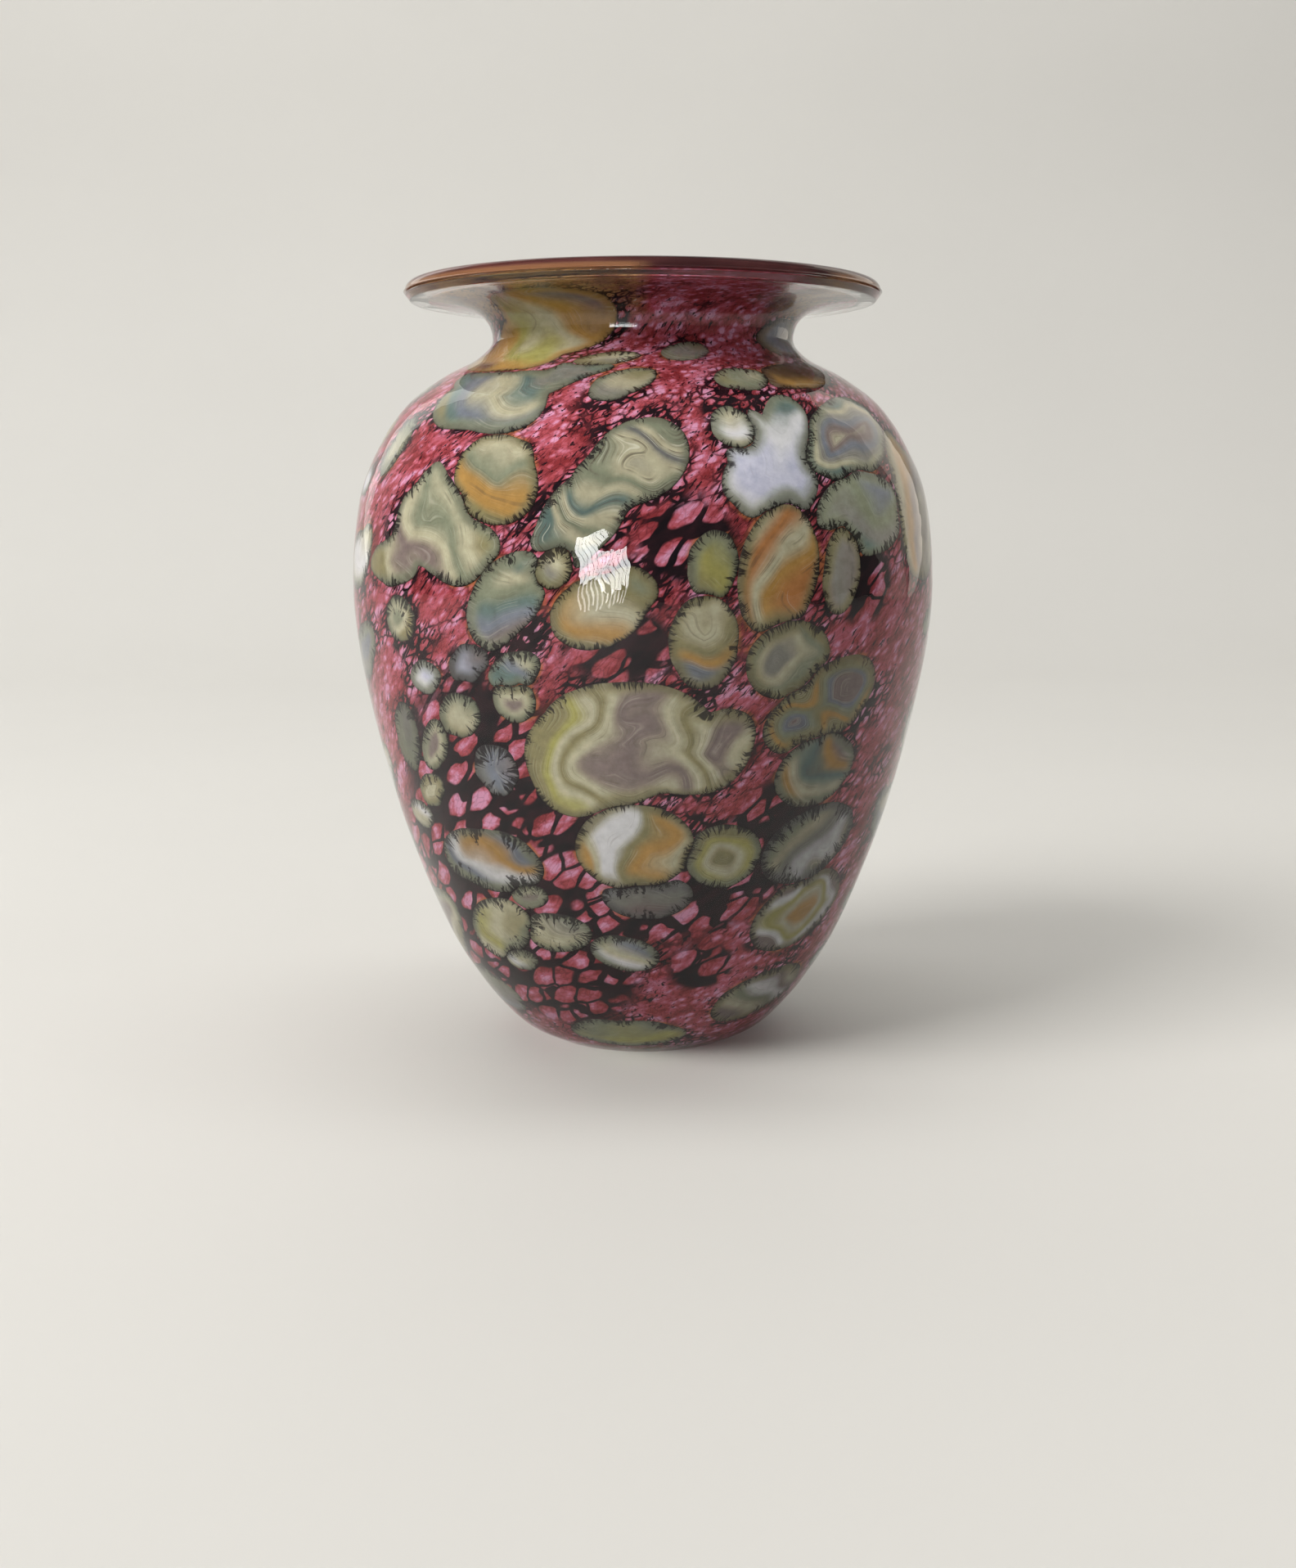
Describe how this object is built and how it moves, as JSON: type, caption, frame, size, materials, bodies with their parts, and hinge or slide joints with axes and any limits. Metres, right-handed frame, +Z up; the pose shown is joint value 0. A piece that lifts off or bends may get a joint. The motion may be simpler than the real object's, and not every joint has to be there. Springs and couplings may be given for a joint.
{
  "type": "vase",
  "caption": "Hand blown art glass vase: shouldered body, short neck and wide flared lip, with banded glass chips on a ruby ground under clear casing.",
  "frame": {"origin": "middle of the foot, on the surface the vase stands on", "axes": "+Z up through the mouth, -Y towards the front, +X to the right seen from the front"},
  "size_m": [0.139, 0.139, 0.18],
  "materials": {
    "clear_casing": "clear crystal, fire polished, high gloss",
    "ruby_ground": "opaque ruby pink glass with black reaction lines, under clear glass",
    "opal_liner": "pale rose opal glass, fire polished",
    "plum_wrap": "transparent plum glass, fire polished",
    "chip_glass_amber": "opaque banded reactive glass with a dark feathered edge, under clear glass",
    "chip_glass_teal": "opaque banded reactive glass with a dark feathered edge, under clear glass",
    "chip_glass_slate": "opaque banded reactive glass with a dark feathered edge, under clear glass",
    "chip_glass_olive": "opaque banded reactive glass with a dark feathered edge, under clear glass",
    "chip_glass_sage": "opaque banded reactive glass with a dark feathered edge, under clear glass",
    "chip_glass_lavender": "opaque banded reactive glass with a dark feathered edge, under clear glass",
    "chip_glass_mauve": "opaque banded reactive glass with a dark feathered edge, under clear glass",
    "chip_glass_cream": "opaque banded reactive glass with a dark feathered edge, under clear glass"
  },
  "bodies": {
    "root": {"clear_casing": "clear_casing", "colour_ground": "ruby_ground", "inner_liner": "opal_liner", "lip_wrap": "plum_wrap", "chip_neck_amber": "chip_glass_amber", "chip_shoulder_teal": "chip_glass_teal", "chip_collar_grey": "chip_glass_slate", "chip_collar_pebble": "chip_glass_slate", "chip_amber_stripe": "chip_glass_amber", "chip_olive_wing": "chip_glass_olive", "chip_left_round": "chip_glass_sage", "chip_blue_green": "chip_glass_teal", "chip_lilac": "chip_glass_lavender", "chip_zebra": "chip_glass_sage", "chip_window_oval": "chip_glass_amber", "chip_white_kite": "chip_glass_lavender", "chip_collar_green": "chip_glass_sage", "chip_mauve_shoulder": "chip_glass_mauve", "chip_teal_shoulder": "chip_glass_teal", "chip_mauve_drop": "chip_glass_mauve", "chip_neck_ochre": "chip_glass_amber", "chip_neck_grey": "chip_glass_slate", "chip_orange": "chip_glass_amber", "chip_olive_seed": "chip_glass_olive", "chip_lime_seed": "chip_glass_olive", "chip_banded_blue": "chip_glass_slate", "chip_front_plaque": "chip_glass_olive", "chip_agate_white": "chip_glass_cream", "chip_grey_mauve": "chip_glass_mauve", "chip_round_olive": "chip_glass_olive", "chip_olive_mauve": "chip_glass_olive", "chip_green_amber": "chip_glass_sage", "chip_feather_grey": "chip_glass_slate", "chip_gold_swirl": "chip_glass_olive", "chip_base_cream": "chip_glass_cream", "chip_base_green": "chip_glass_sage", "chip_base_blue": "chip_glass_slate", "chip_gold_fleck": "chip_glass_teal", "chip_cream_left": "chip_glass_cream", "chip_feather_low": "chip_glass_sage", "chip_white_low": "chip_glass_cream", "chip_grey_round": "chip_glass_slate", "chip_green_upper": "chip_glass_sage", "chip_left_sage": "chip_glass_sage", "chip_left_edge": "chip_glass_teal", "chip_right_amber": "chip_glass_amber", "chip_side_orange": "chip_glass_amber", "chip_side_cream": "chip_glass_cream", "chip_side_gold": "chip_glass_olive", "chip_side_teal": "chip_glass_teal", "chip_back_amber": "chip_glass_amber", "chip_back_lime": "chip_glass_sage", "chip_back_plaque": "chip_glass_olive", "chip_back_teal": "chip_glass_teal", "chip_back_neck": "chip_glass_amber", "chip_back_agate": "chip_glass_cream", "chip_back_base": "chip_glass_sage", "chip_back_olive": "chip_glass_olive", "chip_back_mauve": "chip_glass_mauve"}
  },
  "joints": []
}
